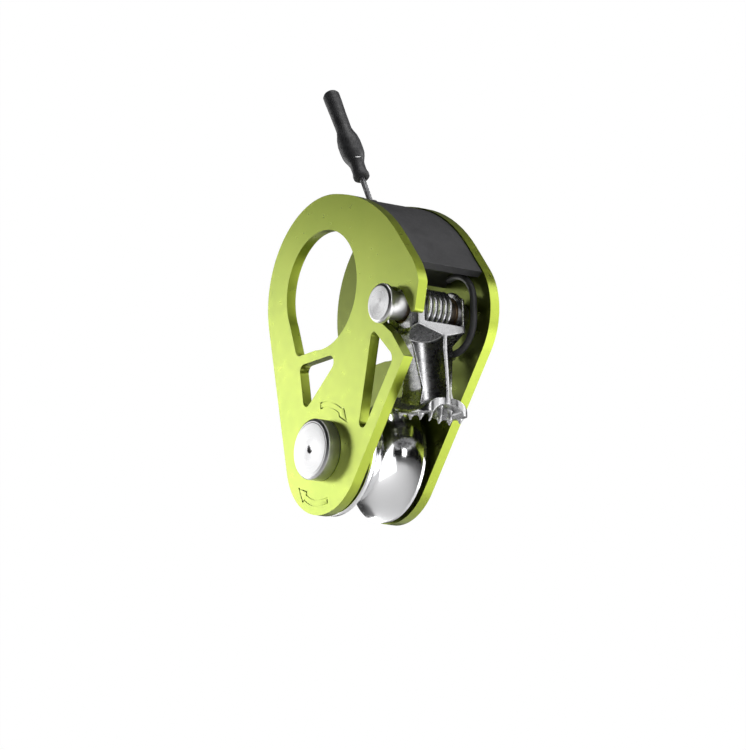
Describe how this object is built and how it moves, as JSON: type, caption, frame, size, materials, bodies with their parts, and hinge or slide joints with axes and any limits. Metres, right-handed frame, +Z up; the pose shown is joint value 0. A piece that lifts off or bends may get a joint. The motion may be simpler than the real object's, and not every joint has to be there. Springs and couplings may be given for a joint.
{
  "type": "self-locking rope pulley",
  "caption": "Compact self-locking rope pulley: side plates, ball-bearing sheave, sprung toothed cam and wire release toggle, hung from a carabiner eye.",
  "frame": {"origin": "centre of the carabiner eye, half way between the two side plates", "axes": "+Z up, from the sheave axle through the eye's centre; +Y from the front (swinging) plate to the rear plate, along the sheave axle and the eye; +X towards the cam"},
  "size_m": [0.0527, 0.0247, 0.0928],
  "materials": {
    "anodised_green": "satin anodised lime green",
    "machined_steel": "fine turned face, polished edge",
    "bearing_steel": "ground",
    "black_nylon": "matt moulded",
    "brass_cage": "plain",
    "polished_aluminium": "polished, with faint turning rings",
    "dark_cam_steel": "dark cast steel with a black finish, worn bright at the edges",
    "bronze_bush": "sintered bronze",
    "spring_steel": "bright drawn wire",
    "black_rubber": "matt",
    "black_plastic": "fine spark texture",
    "wire_steel": "stranded",
    "crimp_aluminium": "plain"
  },
  "bodies": {
    "frame": {"rear_plate": "anodised_green", "sheave_axle": "machined_steel", "axle_collar": "machined_steel", "front_spacer": "bearing_steel", "rear_spacer": "bearing_steel", "front_thrust_washer": "black_nylon", "rear_thrust_washer": "black_nylon", "bearing_inner_race": "bearing_steel", "cam_pin": "machined_steel", "cam_pin_collar": "machined_steel", "cover": "black_plastic", "cover_rivets": "machined_steel", "wire_liner": "black_nylon", "wire_run": "black_rubber"},
    "swing_plate": {"front_plate": "anodised_green"},
    "wheel": {"sheave": "polished_aluminium", "bearing_outer_race": "bearing_steel", "bearing_front_seal": "black_nylon", "bearing_rear_seal": "black_nylon"},
    "ball_ring": {"bearing_cage": "brass_cage", "bearing_balls": "bearing_steel"},
    "rope_cam": {"cam": "dark_cam_steel", "cam_front_bush": "bronze_bush", "cam_rear_bush": "bronze_bush", "cam_spring": "spring_steel", "cam_sheath": "black_rubber", "sheath_anchor": "dark_cam_steel"},
    "toggle": {"release_wire": "wire_steel", "toggle_crimp": "crimp_aluminium", "toggle_handle": "black_rubber"}
  },
  "joints": [
    {"name": "plate_swing", "type": "hinge", "parent": "frame", "child": "swing_plate", "pos_m": [0, -0.00875, -0.0334], "axis": [0, -1, 0], "range_deg": [0, 150]},
    {"name": "sheave_spin", "type": "hinge", "parent": "frame", "child": "wheel", "pos_m": [0, 0, -0.0334], "axis": [0, -1, 0], "continuous": true},
    {"name": "ball_ring_spin", "type": "hinge", "parent": "frame", "child": "ball_ring", "pos_m": [0, 0, -0.0334], "axis": [0, -1, 0], "continuous": true},
    {"name": "cam_pivot", "type": "hinge", "parent": "frame", "child": "rope_cam", "pos_m": [0.0238, 0, -0.0082], "axis": [0, -1, 0], "range_deg": [-26, 22], "stiffness_Nm_per_rad": 0.05},
    {"name": "toggle_pull", "type": "slide", "parent": "frame", "child": "toggle", "axis": [-0.4478, 0, 0.8942], "range_m": [-0.0036, 0.0031]}
  ],
  "couplings": [
    {"joint": "ball_ring_spin", "follows": "sheave_spin", "ratio": 0.62288},
    {"joint": "toggle_pull", "follows": "cam_pivot", "m_per_rad": 0.0079}
  ]
}
